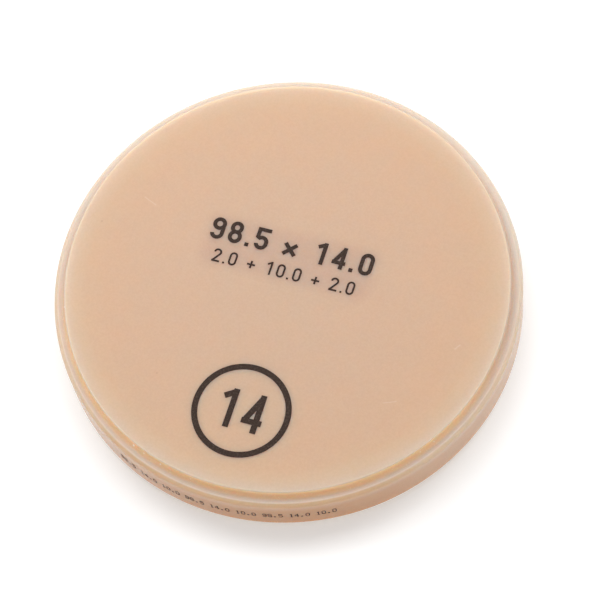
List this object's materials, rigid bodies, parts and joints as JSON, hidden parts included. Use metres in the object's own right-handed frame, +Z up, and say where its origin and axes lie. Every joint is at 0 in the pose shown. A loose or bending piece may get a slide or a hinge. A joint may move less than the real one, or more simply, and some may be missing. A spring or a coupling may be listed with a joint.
{
  "type": "dental milling block",
  "caption": "Solid round blank of tooth-coloured resin ceramic with a clamping flange and stepped flat faces, for milling crowns and bridges.",
  "frame": {"origin": "centre of the lower face, on the disc's axis", "axes": "+Z up along the disc's axis, +X along the printed figures on the upper face, +Y towards their tops"},
  "size_m": [0.0984, 0.0985, 0.014],
  "materials": {
    "resin_ceramic": "fine-ground satin",
    "ink": "matt printed film"
  },
  "bodies": {
    "root": {"milling_blank": "resin_ceramic", "face_print": "ink", "rim_print": "ink"}
  },
  "joints": []
}
